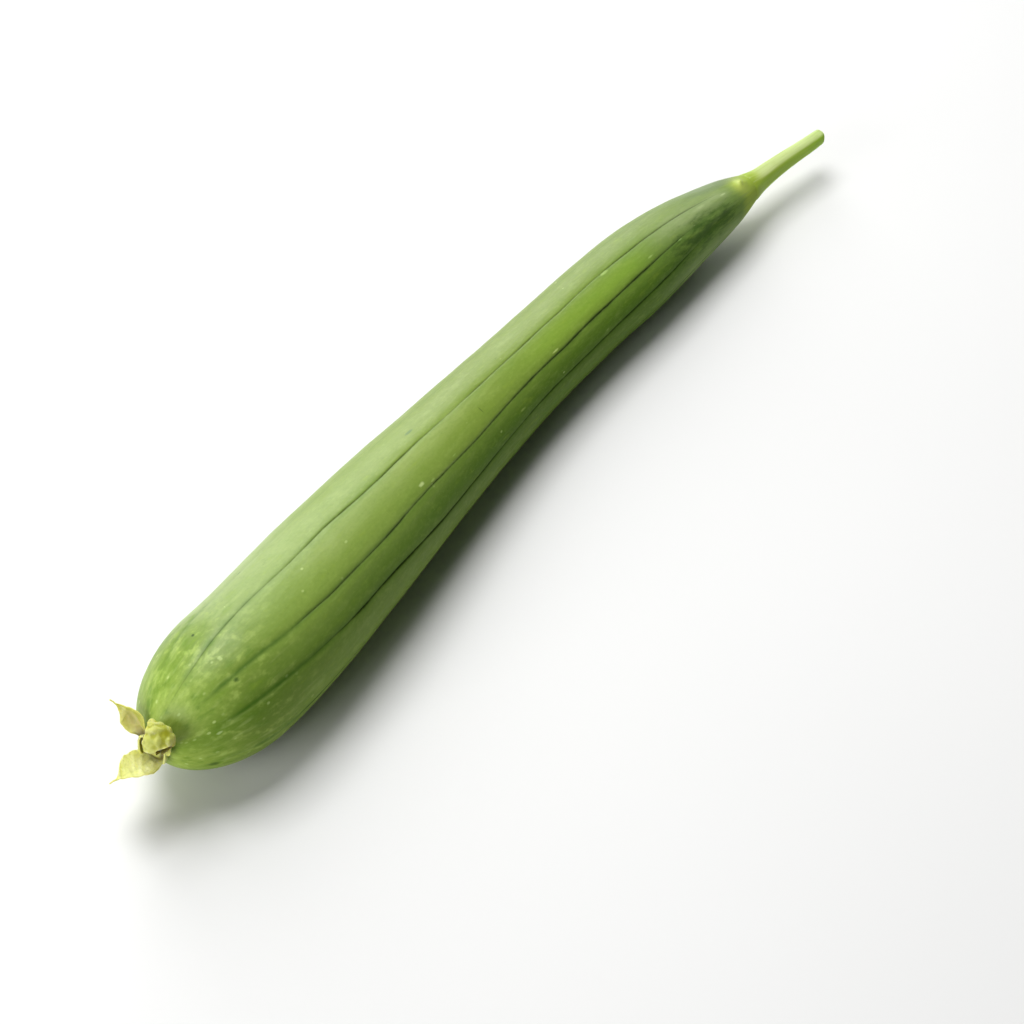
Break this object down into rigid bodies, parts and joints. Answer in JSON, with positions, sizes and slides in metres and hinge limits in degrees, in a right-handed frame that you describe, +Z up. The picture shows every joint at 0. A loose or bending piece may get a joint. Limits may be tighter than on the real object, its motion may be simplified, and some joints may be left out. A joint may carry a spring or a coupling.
{
  "type": "ridge gourd",
  "caption": "Fresh ridge gourd lying on its side: a long green fruit with furrowed ribs that tapers to a cut stem, with its dried calyx on the blossom end.",
  "frame": {"origin": "on the surface the gourd lies on, under the centre of its bounding box", "axes": "+Z up, +X along the gourd from the blossom end to the cut stem, +Y across it"},
  "size_m": [0.4008, 0.0582, 0.0493],
  "materials": {
    "green_skin": "thin waxy vegetable skin, satin, mid to dark green with darker furrow lines and a few pale flecks",
    "stem_skin": "smooth pale yellow-green plant stalk, satin",
    "dried_sepal": "papery cream to yellow-green dried sepals, matte"
  },
  "bodies": {
    "root": {"fruit": "green_skin", "stem": "stem_skin", "calyx": "dried_sepal"}
  },
  "joints": []
}
